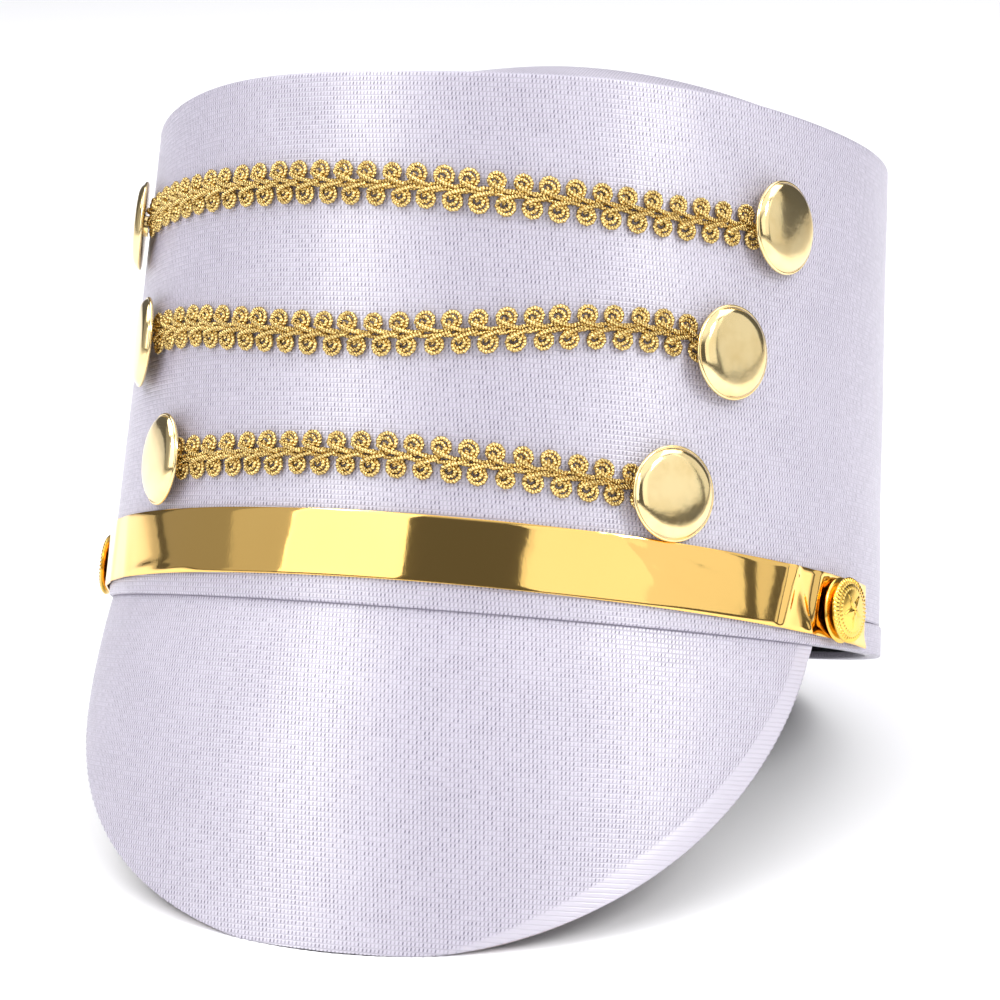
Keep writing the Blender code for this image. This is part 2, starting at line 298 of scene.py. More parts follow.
def make_satin():
    """Rows of rounded relief, a dash in each cell of a row and thin lines between the rows, both darkened
    as painted shade of the gaps between the threads, and faint clouds of tone. Where the piece carries
    the mark of the peak's turned roll, the dashes stop, the lines fade by half and the colour goes
    halfway to the roll's tone: the smoother turned cloth there, and a painted highlight of the lit roll."""
    satin = Finish("white_satin", {"Roughness": 0.40, "IOR": 2.1, "Specular IOR Level": 0.62,
                                   "Anisotropic": 0.8, "Anisotropic Rotation": 0.25,
                                   "Sheen Weight": 0.10, "Sheen Roughness": 0.4})
    along, up = satin.along_and_up()
    # turned is 1 on the peak's turned roll, where the cloth is smoother and a highlight is painted: the
    # dashes go, the row lines fade by half and the colour lightens.
    turned = satin.marked("lit_turned_edge")
    row = up / ROW_PITCH
    in_row = row.part()
    column = along / DASH_PITCH - 0.34 * in_row + 0.16 * row
    middle = abs(in_row * 2.0 - 1.0)
    groove = middle.rise(0.55, 1.0)
    across = 1.0 - abs(column.part() - 0.5).rise(0.12, 0.27)
    tall = 1.0 - middle.rise(0.45, 0.85)
    chance = satin.chance(column.whole(), row.whole())
    dash = across * tall * (0.45 + 0.55 * chance) * (1.0 - turned)
    worn = satin.cloud(70.0, 3.0)
    # The dashes and the lines between the rows darken the colour as painted shade of the gaps between the
    # threads; worn adds faint clouds of tone.
    shade = dash * 0.95 + groove * (0.28 + 0.20 * worn) * (1.0 - 0.5 * turned) + 0.08 * worn
    colour = satin.blend(shade, SATIN_THREAD, SATIN_SHADE)
    # On the turned roll the colour goes halfway to the roll's tone, part of its painted highlight.
    colour = satin.blend(turned * 0.5, colour, SATIN_LIT_ROLL)
    relief = (1.0 - groove) * 0.00007 - dash * 0.00007 + worn * 0.00003
    return satin.finish(colour=colour, roughness=0.37 + 0.08 * groove + 0.12 * dash, relief=relief)


def skin(name, points, cloth, finish, closed=(False, False), marks=(), second=None):
    """A piece from one grid of points and a grid of cloth coordinates for the corners of its quads.
    A closed direction joins its last row or column to its first. Points that coincide are merged, the
    faces are turned outwards, and marks are named numbers for the points. second is another finish
    and which quads have it."""
    rows, columns = points.shape[:2]
    down = np.arange(rows if closed[0] else rows - 1)[:, None]
    side = np.arange(columns if closed[1] else columns - 1)[None, :]
    corners = [(0, 0), (0, 1), (1, 1), (1, 0)]
    quads = np.stack([(down + i) % rows * columns + (side + j) % columns for i, j in corners], -1)
    places = np.stack([cloth[down + i, side + j] for i, j in corners], axis=-2)
    quads, places = quads.reshape(-1, 4), places.reshape(-1, 2)
    flat = points.reshape(-1, 3)
    first, after, across = (flat[quads[:, k]] for k in (0, 1, 2))
    last = flat[quads[:, 3]]
    volume = np.einsum("ij,ij->", first, np.cross(after, across) + np.cross(across, last))
    if volume < 0.0:
        quads = quads[:, ::-1]
        places = places.reshape(-1, 4, 2)[:, ::-1].reshape(-1, 2)
    mesh = bpy.data.meshes.new(name)
    mesh.vertices.add(len(flat))
    mesh.vertices.foreach_set("co", rest_hat(flat).ravel())
    mesh.loops.add(quads.size)
    mesh.loops.foreach_set("vertex_index", quads.ravel())
    mesh.polygons.add(len(quads))
    mesh.polygons.foreach_set("loop_start", np.arange(0, quads.size, 4))
    mesh.uv_layers.new(name="cloth").data.foreach_set("uv", places.ravel())
    for mark, values in dict(marks).items():
        layer = mesh.attributes.new(mark, "FLOAT", "POINT")
        layer.data.foreach_set("value", np.asarray(values, float).ravel())
    mesh.materials.append(finish)
    if second:
        mesh.materials.append(second[0])
        mesh.polygons.foreach_set("material_index", second[1].ravel().astype(int))
    mesh.update(calc_edges=True)
    bm = bmesh.new()
    bm.from_mesh(mesh)
    bmesh.ops.remove_doubles(bm, verts=bm.verts, dist=2e-7)
    bmesh.ops.dissolve_degenerate(bm, edges=bm.edges, dist=1e-7)
    bm.to_mesh(mesh)
    bm.free()
    mesh.shade_smooth()
    mesh.set_sharp_from_angle(angle=math.radians(50.0))
    piece = bpy.data.objects.new(name, mesh)
    bpy.context.scene.collection.objects.link(piece)
    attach(piece, "root")
    return piece


def swell(angle, height):
    """How the cloth lies on the board: low crossing waves, never proud of the board, narrow creases
    along straight lines, and a valley down the back seam."""
    level = 2.0 * math.pi * height / CROWN_HEIGHT
    waves = sum(depth * (np.sin(round_it * angle + up * level + phase) - 1.0) * 0.5
                for round_it, up, phase, depth in SWELLS)
    waves = waves * smooth_step(0.018, 0.045, height)
    for (from_angle, from_height), (to_angle, to_height), half_width, depth in CREASES:
        start = np.array([run_of(math.radians(from_angle)), from_height])
        line = np.array([run_of(math.radians(to_angle)), to_height]) - start
        along = (run_of(angle) - start[0]) * line[0] + (height - start[1]) * line[1]
        along = np.clip(along / (line @ line), 0.0, 1.0)
        away = np.hypot(run_of(angle) - start[0] - along * line[0],
                        height - start[1] - along * line[1])
        waves = waves - depth * np.exp(-((away / half_width) ** 2))
    from_seam = run_of(math.pi - np.abs(angle))
    return waves - SEAM_DEPTH * np.exp(-((from_seam / (0.5 * SEAM_WIDTH)) ** 2))


def wall_angles():
    """Even angles all round, and closer ones beside the seam at the back."""
    even = np.linspace(-math.pi, math.pi, 441)
    near = math.pi - np.linspace(0.0, 0.035, 12)
    return np.unique(np.round(np.concatenate([even, near, -near]), 9))[:-1]


def carried_round(angle, rows, outward_too=0.0):
    """A closed profile carried round the crown. A row is (inset, level, rise): level between the rim
    and the upper edge, raised above it, inset from the crown's outer face."""
    inset, level, rise = (np.array(column)[:, None] for column in zip(*rows))
    height = rim_height(angle) + level * (top_height(angle) - rim_height(angle)) + rise
    return crown_point(angle, height, outward_too - inset), height


def profile_run(rows, high=CROWN_HEIGHT):
    """The length along a profile's rows, for the cloth coordinates, closed at the end."""
    inset, level, rise = (np.array(column) for column in zip(*rows))
    up = level * high + rise
    steps = np.hypot(np.diff(inset, append=inset[0]), np.diff(up, append=up[0]))
    return np.concatenate([[0.0], np.cumsum(steps)])


def ring_cloth(angle, run):
    """Cloth coordinates of a closed ring's corners: the run round the rim, and along the profile."""
    round_it = run_of(np.append(angle, angle[0] + 2.0 * math.pi))
    return np.stack(np.broadcast_arrays(round_it[None, :], run[:, None]), axis=-1)


satin = make_satin()
recess = STRIP_CLOTH + GAP
lowest = STRIP_HEIGHT + GAP
quarter = np.linspace(0.0, 0.5 * math.pi, 6)
wall_rows = [(recess, 0.0, recess), (recess, 0.0, lowest), (0.00025, 0.0, lowest),
             (0.0, 0.0, lowest + 0.0003)]
wall_rows += [(0.0, level, (lowest + 0.0006) * (1.0 - level) - WALL_EDGE_ROUND * level)
              for level in np.linspace(0.0, 1.0, 97)]
wall_rows += [(WALL_EDGE_ROUND * (1.0 - math.cos(turn)), 1.0, -WALL_EDGE_ROUND * (1.0 - math.sin(turn)))
              for turn in quarter[1:]]
wall_rows += [(WALL, 1.0, 0.0)]
wall_rows += [(WALL, level, recess * (1.0 - level)) for level in np.linspace(0.98, 0.0, 10)]
wall_inset = np.array([row[0] for row in wall_rows])
angle = wall_angles()
wall_height = carried_round(angle, wall_rows)[1]
outside = (wall_inset < 0.6 * WALL)[:, None] * (np.arange(len(wall_rows)) > 2)[:, None]
points, _ = carried_round(angle, wall_rows, outside * swell(angle[None, :], wall_height))
crown_wall = skin("satin_crown", points, ring_cloth(angle, profile_run(wall_rows)), satin,
                  closed=(True, True))
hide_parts("crown_wall")

# ---- Crown top: a round of the same satin, cut on the bias, gathered a little into the top seam and
# puffed up over the crown, fuller to the back and to the right.
TOP_CLOTH = 0.0025
TOP_SET_DOWN = 0.0006
TOP_DOME = 0.0242
TOP_DOME_POWER = 1.7
TOP_FULLER_RIGHT, TOP_FULLER_BACK = 0.31, 0.59
TOP_PUCKERS = ((61, 0.7, 0.00016), (43, 2.2, 0.00014), (97, 4.1, 0.00008))
TOP_BIAS = math.radians(48.0)

angle = np.linspace(-math.pi, math.pi, 361)[:-1]
ring = 1.0 - (1.0 - np.linspace(0.0, 1.0, 72)) ** 1.25
ring = np.sin(0.5 * math.pi * np.linspace(0.0, 1.0, 72)) ** 1.0
edge = crown_point(angle, top_height(angle) - TOP_SET_DOWN, -(WALL + GAP))
middle = edge.mean(axis=0)
outer = middle + ring[:, None, None] * (edge - middle)
outer[..., 2] = middle[2] + ring[:, None] ** 2 * (edge[:, 2] - middle[2])
fuller = 1.0 + ring[:, None] * (TOP_FULLER_RIGHT * np.sin(angle) - TOP_FULLER_BACK * np.cos(angle))
outer[..., 2] += TOP_DOME * fuller * (1.0 - ring[:, None] ** TOP_DOME_POWER)
gathered = np.exp(-(((1.0 - ring[:, None]) / 0.07) ** 1.0)) * smooth_step(1.0, 0.985, ring[:, None])
outer[..., 2] += gathered * sum(depth * np.sin(waves * angle + phase)
                                for waves, phase, depth in TOP_PUCKERS)
inner = outer[::-1] - (0.0, 0.0, TOP_CLOTH)
points = np.concatenate([outer, inner])
lie = points[..., :2]
turned = np.stack([lie[..., 0] * math.cos(TOP_BIAS) + lie[..., 1] * math.sin(TOP_BIAS),
                   lie[..., 1] * math.cos(TOP_BIAS) - lie[..., 0] * math.sin(TOP_BIAS)], axis=-1)
turned = np.concatenate([turned, turned[:, :1]], axis=1)
crown_top = skin("satin_top", points, turned, satin, closed=(False, True))
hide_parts("crown_top")

# ---- Rim strip: a straight strip of the satin bound over the board's lower edge. It is pulled tight
# under the foil band and stands a little off the crown from the right side button round the back.
STRIP_PROUD = 0.0001
STRIP_OFF_BACK = 0.00045
STRIP_INNER_LEG = 0.0016
STRIP_ROUND = 0.0006

angle = np.linspace(-math.pi, math.pi, 361)[:-1]
inner_face = WALL + GAP
turn = np.linspace(0.0, 0.5 * math.pi, 5)
strip_rows = [(STRIP_ROUND * (1.0 - math.sin(t)), 0.0, STRIP_ROUND * (1.0 - math.cos(t))) for t in turn]
strip_rows += [(0.0, 0.0, rise) for rise in np.linspace(0.0012, STRIP_HEIGHT - 0.0003, 8)]
strip_rows += [(0.0001, 0.0, STRIP_HEIGHT - 0.0001), (0.0003, 0.0, STRIP_HEIGHT)]
strip_rows += [(STRIP_CLOTH, 0.0, STRIP_HEIGHT), (STRIP_CLOTH, 0.0, STRIP_CLOTH),
               (inner_face, 0.0, STRIP_CLOTH), (inner_face, 0.0, STRIP_INNER_LEG),
               (inner_face + STRIP_CLOTH, 0.0, STRIP_INNER_LEG), (inner_face + STRIP_CLOTH, 0.0, 0.0003),
               (inner_face + STRIP_CLOTH - 0.0003, 0.0, 0.0)]
loose = STRIP_PROUD + STRIP_OFF_BACK * smooth_step(math.radians(84.0), math.radians(92.0), np.abs(angle))
loose = loose * (1.0 + 0.25 * np.sin(9.0 * angle + 1.0) * (np.abs(angle) > math.radians(84.0)))
facing_out = np.array([row[0] < STRIP_CLOTH for row in strip_rows])[:, None]
points, _ = carried_round(angle, strip_rows, facing_out * loose)
floor_line = np.array([0.0, -math.sin(REST_TILT), math.cos(REST_TILT)])
below = np.minimum(points @ floor_line + REST_PLACE[2] - 0.0001, 0.0)
points = points - below[..., None] * floor_line
rim_strip = skin("satin_binding", points, ring_cloth(angle, profile_run(strip_rows, 0.0)), satin,
                 closed=(True, True))
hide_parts("rim_strip")

# ---- Sweatband: a black ribbed ribbon sewn round the inside of the rim.
SWEATBAND = 0.0010
SWEATBAND_TOP = 0.032
RIBBON_RIB = 0.0016


def make_black_band():
    """Upright ribs, two rows of small stitches near the edges, and a dull dusty black."""
    band = Finish("black_band", {"Roughness": 0.8, "Specular IOR Level": 0.3})
    along, up = band.along_and_up()
    rib = abs((along / RIBBON_RIB).part() * 2.0 - 1.0)
    stitched = 1.0 - abs(abs(up - 0.0155) - 0.0125).rise(0.0001, 0.0004)
    thread = stitched * (1.0 - abs((along / 0.0028).part() - 0.5).rise(0.28, 0.40))
    dust = band.cloud(220.0, 4.0)
    colour = band.blend(dust * 0.35 + thread * 0.4, (0.012, 0.012, 0.015), (0.07, 0.068, 0.075))
    relief = thread * 0.0002 - rib * 0.00009 + dust * 0.00004
    return band.finish(colour=colour, roughness=0.7 + 0.2 * dust, relief=relief)


angle = np.linspace(-math.pi, math.pi, 289)[:-1]
near, far = WALL + GAP, WALL + GAP + SWEATBAND
low = STRIP_INNER_LEG + GAP
climb = np.linspace(low, SWEATBAND_TOP, 16)
band_rows = [(near, 0.0, rise) for rise in climb]
band_rows += [(near + 0.0003, 0.0, SWEATBAND_TOP + 0.0002), (far - 0.0003, 0.0, SWEATBAND_TOP + 0.0002)]
band_rows += [(far, 0.0, rise) for rise in climb[::-1]]
points, height = carried_round(angle, band_rows)
cloth = ring_cloth(angle, np.append(height[:, 0], height[0, 0]))
sweatband = skin("ribbon_sweatband", points, cloth, make_black_band(), closed=(True, True))
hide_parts("sweatband")

# ---- Peak: padded board in the satin, its rows following the seam. The cloth is turned over the edge
# as a smooth roll, and a twill tape closes the edge below the roll and goes on as the underside.
PEAK_HALF_ANGLE = math.radians(68.3)
PEAK_LENGTH = 0.0798
PEAK_CURVE, PEAK_FULLNESS = 1.82, 1.77
PEAK_END = 0.997
PEAK_INSET = 0.0010
PEAK_THICK = 0.0035
PEAK_LEAN_MIDDLE = math.radians(7.0)
PEAK_LEAN_ADDED_AT_ENDS = math.radians(14.6)
PEAK_BULGE = 0.0022
ROLL_WIDTH = 0.0056
ROLL_DROP = 0.0007
ROLL_LIP = 0.0011
TWILL_THREAD = (0.62, 0.56, 0.56)
TWILL_SHADE = (0.30, 0.26, 0.29)


def make_twill():
    """Slanting twill lines across the tape, with a little noise along each."""
    twill = Finish("peak_twill", {"Roughness": 0.6, "Specular IOR Level": 0.4})
    along, up = twill.along_and_up()
    line = abs(((along * 0.85 - up) / 0.0011).part() * 2.0 - 1.0)
    fuzz = twill.cloud(900.0, 2.0)
    shade = line.rise(0.45, 0.95) * 0.6 + fuzz * 0.25
    colour = twill.blend(shade, TWILL_THREAD, TWILL_SHADE)
    return twill.finish(colour=colour, roughness=0.5 + 0.3 * fuzz, relief=0.00004 * fuzz - line * 0.00005)


across = PEAK_END * np.sin(0.5 * math.pi * np.linspace(-1.0, 1.0, 281))
angle = PEAK_HALF_ANGLE * across
seam = crown_point(angle, rim_height(angle) - 0.00005, -PEAK_INSET)
length = PEAK_LENGTH * (1.0 - np.abs(across) ** PEAK_CURVE) ** (1.0 / PEAK_FULLNESS)
lean = PEAK_LEAN_MIDDLE + PEAK_LEAN_ADDED_AT_ENDS * across**2
down = np.stack([0.0 * lean, -np.sin(lean), -np.cos(lean)], axis=-1)
share = 1.0 - np.concatenate([np.linspace(1.0, 0.10, 58), 0.10 * np.linspace(1.0, 0.0, 26)[1:] ** 1.7])
share = share[:, None]
run = share * length
face = seam + run[..., None] * down
outline = face[-1]
apart = np.linalg.norm(face[:, :, None, :] - outline[None, None, ::2, :], axis=-1).min(axis=-1)
normal = np.cross(np.gradient(face, axis=1), -down)
normal /= np.linalg.norm(normal, axis=-1, keepdims=True)
lip = np.clip(1.0 - apart / ROLL_LIP, 0.0, 1.0)
roll_width = 0.0001 + ROLL_WIDTH * smooth_step(0.10, 0.62, across)
drop = ROLL_DROP * np.clip(1.0 - apart / roll_width, 0.0, 1.0) ** 1.6
drop = drop + (ROLL_LIP - ROLL_DROP) * (1.0 - np.sqrt(np.clip(1.0 - lip**2, 0.0, 1.0)))
groove = 0.00010 * np.exp(-(((apart - roll_width) / 0.0009) ** 2)) * smooth_step(0.1, 0.4, across)
ripple = 0.00018 * np.sin(run / 0.019 + 2.3 * across) * np.sin(3.0 * across + 0.8)
ripple = ripple * smooth_step(0.0, 0.012, run) * smooth_step(0.0, 0.010, apart)
ripple = ripple + PEAK_BULGE * 4.0 * share * (1.0 - share) * (1.0 - across**2)
upper = face + (ripple - drop - groove)[..., None] * normal
tuck = np.array([0.32, 0.36, 0.60, 0.85, 1.0])
inward = np.array([0.00025, 0.0, 0.0, 0.0, 0.0])
side = [face[-1] - PEAK_THICK * t * normal[-1] + s * down * -1.0 for t, s in zip(tuck, inward)]
under = face[::-1] - PEAK_THICK * normal[::-1]
lap = np.concatenate([upper, np.stack(side), under])
middle = face - 0.5 * PEAK_THICK * normal
core = np.concatenate([middle, np.stack([middle[-1]] * len(side)), middle[::-1]])
points = np.concatenate([core[:, :1], lap, core[:, -1:]], axis=1)
seam_run = np.concatenate([[0.0], np.cumsum(np.linalg.norm(np.diff(seam, axis=0), axis=1))])
seam_run = np.concatenate([[-0.0015], seam_run, [seam_run[-1] + 0.0015]])
beyond = np.concatenate([run, run[-1] + PEAK_THICK * tuck[:, None], run[::-1] + PEAK_THICK])
beyond = np.concatenate([beyond[:, :1], beyond, beyond[:, -1:]], axis=1)
beyond = np.concatenate([beyond, beyond[-1:]])
cloth = np.stack([np.broadcast_to(seam_run, beyond.shape), -beyond], axis=-1)
# The turned roll is marked for the satin, which paints the roll's highlight there by leaving out the
# weave's dashes.
rolled = 1.0 - smooth_step(roll_width - 0.0005, roll_width + 0.0003, apart)
rolled = np.concatenate([rolled, np.ones((len(side), rolled.shape[1])), rolled[::-1]])
rolled = np.concatenate([rolled[:, :1], rolled, rolled[:, -1:]], axis=1)
below = np.minimum(points @ floor_line + REST_PLACE[2] - 0.0001, 0.0)
points = points - below[..., None] * floor_line
taped = np.zeros((len(points), points.shape[1] - 1), bool)
taped[len(face) + 1:len(points) - 1] = True
peak = skin("padded_peak", points, cloth, satin, closed=(True, False),
            marks={"lit_turned_edge": rolled}, second=(make_twill(), taped))
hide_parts("peak")

# ---- Foil band: a strip of thin gilt plastic, mirror bright, drawn across the front from one side
# button to the other. It ripples slightly, creases where it turns to the left button and crumples
# before the right one, where its lower edge curls out.
SIDE_BUTTON_ANGLES = {"left": math.radians(-81.0), "right": math.radians(72.8)}
SIDE_BUTTON_HEIGHT = 0.0098
BAND_PAST_BUTTON = math.radians(9.6)
BAND_THICK, BAND_CLEAR = 0.0005, 0.0004
BAND_WIDTH = 0.0152
BAND_MIDDLE_HEIGHT, BAND_FALL = 0.0060, 0.0047
FOIL_GOLD = (0.96, 0.63, 0.20)
FOIL_DEEP = (0.80, 0.44, 0.10)
FOIL_FOLDS = (
    # angle at the band's middle, slant towards its top, half width in degrees, height
    (-87.0, 1.0, 1.6, 0.00050),
    (-74.0, 0.8, 1.5, 0.00035),
    (-66.5, -0.5, 1.4, 0.00040),
    (-58.0, 0.8, 1.6, 0.00032),
    (-50.0, -1.2, 1.9, 0.00022),
    (60.8, 2.6, 0.9, 0.00060),
    (63.6, -3.4, 1.0, 0.00052),
    (67.0, 2.2, 1.2, 0.00050),
    (70.6, -1.0, 1.1, 0.00035),
    (78.0, 1.5, 1.3, 0.00040),
)
FOIL_DENTS = (
    # angle, share of the width up, slant, half widths along and across in metres, height
    (31.0, 0.82, -0.9, 0.0060, 0.0014, 0.00012),
    (35.0, 0.72, -0.7, 0.0075, 0.0013, 0.00012),
    (39.0, 0.60, -0.4, 0.0080, 0.0012, 0.00010),
    (44.0, 0.80, -0.2, 0.0060, 0.0012, 0.00009),
    (-34.0, 0.08, 0.1, 0.0080, 0.0011, 0.00020),
    (-44.0, 0.10, 0.1, 0.0060, 0.0010, 0.00018),
)


def make_foil():
    """Bright gilt with the faintest unevenness and a few fine scratches."""
    foil = Finish("gold_foil", {"Metallic": 1.0, "Roughness": 0.06})
    along, up = foil.along_and_up()
    cloud = foil.cloud(45.0, 3.0)
    fine = foil.cloud(1400.0, 2.0, (1.0, 1.0, 0.25))
    edge = (abs(up / BAND_WIDTH - 0.5) * 2.0).rise(0.93, 1.0)
    colour = foil.blend(0.25 * cloud + 0.3 * edge, FOIL_GOLD, FOIL_DEEP)
    return foil.finish(colour=colour, roughness=0.045 + 0.05 * fine + 0.10 * edge,
                       relief=0.000004 * fine + 0.00012 * cloud)


def foil_stands_off(angle, share):
    """How far the foil stands off: two slow waves, round ridges across the band that slant and fade
    towards one edge, small slanting dents, and the curl of its lower right edge."""
    run = run_of(angle)
    off = 0.00010 * (1.0 + np.sin(run / 0.0115 + 2.2 * share))
    off = off + 0.00006 * (1.0 + np.sin(run / 0.0047 - 1.4 * share + 0.6))
    degrees = np.degrees(angle)
    for middle, slant, half_width, height in FOIL_FOLDS:
        away = (degrees - middle - slant * (share - 0.5)) / half_width
        off = off + height * np.exp(-(away**2)) * (0.75 + 0.25 * np.cos(3.0 * share + middle))
    for middle, level, slant, long, narrow, height in FOIL_DENTS:
        east, north = run - run_of(math.radians(middle)), (share - level) * BAND_WIDTH
        along = east * math.cos(slant) + north * math.sin(slant)
        over = north * math.cos(slant) - east * math.sin(slant)
        off = off + height * np.exp(-((along / long) ** 2) - (over / narrow) ** 2)
    curl = smooth_step(0.22, 0.0, share) * smooth_step(66.0, 72.0, degrees)
    under_button = np.hypot(run - run_of(SIDE_BUTTON_ANGLES["right"]), share * 0.0)
    return off + 0.0006 * curl * smooth_step(0.0, 0.006, under_button)


angle = np.linspace(SIDE_BUTTON_ANGLES["left"] - BAND_PAST_BUTTON,
                    SIDE_BUTTON_ANGLES["right"] + BAND_PAST_BUTTON, 700)
share = np.concatenate([[0.0, 0.015], np.linspace(0.045, 0.955, 29), [0.985, 1.0]])[:, None]
low = BAND_MIDDLE_HEIGHT - BAND_FALL * (1.0 - np.cos(angle))
stands = foil_stands_off(angle[None, :], share)
for button_angle in SIDE_BUTTON_ANGLES.values():
    held = np.hypot(run_of(angle[None, :] - button_angle), (share - 0.5) * BAND_WIDTH)
    stands = stands * smooth_step(0.0055, 0.0095, held)
height = low + share * BAND_WIDTH
edge_turn = 0.00012 * smooth_step(0.94, 1.0, np.abs(2.0 * share - 1.0))
front = crown_point(angle[None, :], height, BAND_CLEAR + BAND_THICK + stands - edge_turn)
back = crown_point(angle[None, :], height, BAND_CLEAR + stands)[::-1]
lap = np.concatenate([front, back])
middle = np.concatenate([0.5 * (front + back[::-1]), 0.5 * (front + back[::-1])[::-1]])
points = np.concatenate([middle[:, :1], lap, middle[:, -1:]], axis=1)
up = np.concatenate([share, share[::-1], share[:1]]) * BAND_WIDTH
along = run_of(np.concatenate([angle[:1], angle, angle[-1:]]))
cloth = np.stack(np.broadcast_arrays(along[None, :], up), axis=-1)
foil_band = skin("foil_band", points, cloth, make_foil(), closed=(True, False))
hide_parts("gold_band")

# ---- Gimp braid: three rows of a looped trimming, glued and stitched to the crown. Thick twisted gold
# cords are coiled into a row of round loops above and one below, half a loop on, and each coil runs
# out slantwise to the middle, where the ends lie over two straight core cords like an ear of corn.
FLAT_BUTTONS = {
    # row: {side: (angle in degrees, height)}
    "top": {"left": (-60.0, 0.0924), "right": (57.2, 0.0964)},
    "middle": {"left": (-50.2, 0.0617), "right": (48.5, 0.0651)},
    "lower": {"left": (-39.4, 0.0322), "right": (40.1, 0.0310)},
}
BRAID_HEIGHTS = {
    # row: heights at five even stations from the left button to the right one
    "top": (0.0933, 0.0962, 0.0959, 0.0945, 0.0958),
    "middle": (0.0623, 0.0628, 0.0615, 0.0659, 0.0652),
    "lower": (0.0322, 0.0334, 0.0341, 0.0331, 0.0312),
}
BRAID_PITCH = 0.00603
BRAID_END_FROM_BUTTON = 0.0042
CORD_RADIUS = 0.00050
CORD_TWIST = 0.00135
CORD_STEP = 0.00024
COIL_START, COIL_RADIUS, LOOP_RADIUS = 0.00025, 0.00092, 0.00190
COIL_SET_IN = 0.00026
LOOP_MIDDLE = {"upper": 0.00278, "lower": 0.00282}
LOOP_OFFSET = {"upper": 0.0, "lower": 0.40}
BRAID_LIGHT = (0.95, 0.72, 0.28)
# Deep brown gold for the painted shade in the cord's grooves, and for its duller turns.
BRAID_GROOVE_SHADE_AND_DULL = (0.24, 0.12, 0.02)


def make_braid_gold():
    """Gilt thread wound round the cord: fine helical ridges, with painted shade in the grooves between
    the plies and between the threads, and a scatter of brighter and duller turns."""
    gold = Finish("gold_braid", {"Metallic": 0.95, "Roughness": 0.25})
    along, up = gold.along_and_up()
    ply = abs((along / CORD_TWIST * 2.0 + up * 2.0).part() * 2.0 - 1.0)
    thread = abs((along / 0.00021 + up * 3.0).part() * 2.0 - 1.0)
    turns = gold.cloud(1500.0, 2.0)
    # ply and thread darken the grooves as painted shade; turns gives the gilt's own scatter of duller
    # turns.
    shade = ply.rise(0.45, 1.0) * 0.85 + thread * 0.12 + turns.rise(0.45, 0.75) * 0.45
    colour = gold.blend(shade, BRAID_LIGHT, BRAID_GROOVE_SHADE_AND_DULL)
    relief = ply * -0.00016 - thread * 0.000015 + turns * 0.00010
    return gold.finish(colour=colour, roughness=0.14 + 0.25 * turns, relief=relief)


def cord_tube(line, closed_ends=True):
    """Two-ply cord along lines in the braid's own frame (along, up, off the cloth): an oval section
    that turns with the length. line is (cords, steps, 3); gives points (cords, steps, sides, 3) and the
    length along."""
    sides = 8
    ahead = np.gradient(line, axis=1)
    step = np.linalg.norm(ahead, axis=-1, keepdims=True)
    ahead = ahead / step
    flat = np.cross(ahead, np.array([0.0, 0.0, 1.0]))
    flat /= np.linalg.norm(flat, axis=-1, keepdims=True)
    rise = np.cross(flat, ahead)
    length = np.cumsum(step[..., 0], axis=1)
    round_it = 2.0 * math.pi * np.arange(sides) / sides
    twist = 2.0 * math.pi * length[..., None] / CORD_TWIST
    radius = CORD_RADIUS * (1.0 + 0.15 * np.cos(2.0 * (round_it - 0.5 * twist)))
    if closed_ends:
        radius = radius.copy()
        radius[:, [0, -1]] = 0.0
    points = (line[:, :, None, :]
              + radius[..., None] * (np.cos(round_it)[:, None] * flat[:, :, None, :]
                                     + np.sin(round_it)[:, None] * rise[:, :, None, :]))
    return points, length


def loop_lines(side, stations, chance):
    """A coil about each station: a small turn set in towards the braid, then the full loop, which ends
    at the left and runs out along a straight line to the braid's middle."""
    turns = np.linspace(0.0, 1.0, 84)
    angle = math.radians(-560.0) + math.radians(755.0) * turns
    radius = COIL_START + (COIL_RADIUS - COIL_START) * smooth_step(0.0, 0.16, turns)
    radius = radius + (LOOP_RADIUS - COIL_RADIUS) * smooth_step(0.34, 0.56, turns)
    size = 1.0 + 0.07 * chance[:, :1]
    lean = 0.20 * chance[:, 1:2]
    x = size * radius * np.cos(angle + lean)
    y = size * radius * np.sin(angle + lean) - COIL_SET_IN * smooth_step(0.55, 0.35, turns)
    z = CORD_RADIUS * (1.05 + 0.7 * smooth_step(0.45, 0.2, turns) + 0.3 * smooth_step(0.85, 1.0, turns))
    z = np.broadcast_to(z, x.shape)
    away = np.linspace(0.0, 1.0, 26)[1:]
    end_x, end_y = 0.0040, -(LOOP_MIDDLE[side] + 0.00012)
    ease = away**1.15
    start_x, start_y = x[:, -1:], y[:, -1:]
    pull_x, pull_y = x[:, -1:] + 0.0004, y[:, -1:] - 0.00095
    out_x = (1 - ease) ** 2 * start_x + 2 * ease * (1 - ease) * pull_x + ease**2 * end_x
    out_y = (1 - ease) ** 2 * start_y + 2 * ease * (1 - ease) * pull_y + ease**2 * end_y
    out_z = CORD_RADIUS * (1.35 + 1.75 * np.sin(math.pi * np.clip(away * 0.93 + 0.07, 0, 1)) ** 0.8)
    out_z = np.broadcast_to(out_z, out_x.shape)
    line = np.stack([np.concatenate(pair, axis=1) for pair in ((x, out_x), (y, out_y), (z, out_z))], -1)
    line[..., 1] += LOOP_MIDDLE[side] * (1.0 + 0.03 * chance[:, 2:3])
    if side == "lower":
        line[..., 1] *= -1.0
    line[..., 0] += stations[:, None]
    return line


